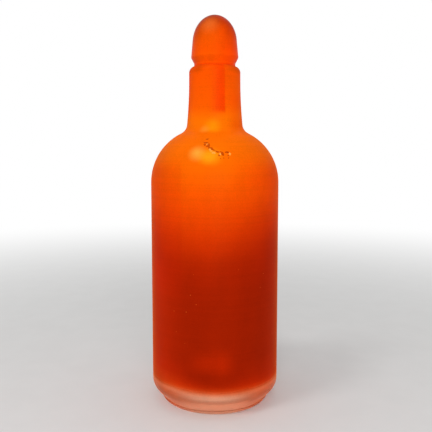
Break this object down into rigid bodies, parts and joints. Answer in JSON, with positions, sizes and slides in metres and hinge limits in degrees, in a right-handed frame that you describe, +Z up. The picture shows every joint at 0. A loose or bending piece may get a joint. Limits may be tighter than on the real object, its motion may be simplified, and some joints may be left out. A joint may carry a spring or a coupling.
{
  "type": "stoppered glass bottle",
  "caption": "Tall satin glass bottle with straight sides, a rounded shoulder, a slightly flared neck, a thick clear foot and a domed glass stopper resting on its lip.",
  "frame": {"origin": "centre of the flat underside, on the bottle's axis", "axes": "+Z up along the bottle's axis, from the foot to the top of the stopper"},
  "size_m": [0.1108, 0.1108, 0.3294],
  "materials": {
    "clear_glass": "satin, finely brushed round",
    "orange_glass": "satin",
    "stopper_glass": "satin"
  },
  "bodies": {
    "root": {"casing": "clear_glass", "lining": "orange_glass", "stopper": "stopper_glass"}
  },
  "joints": []
}
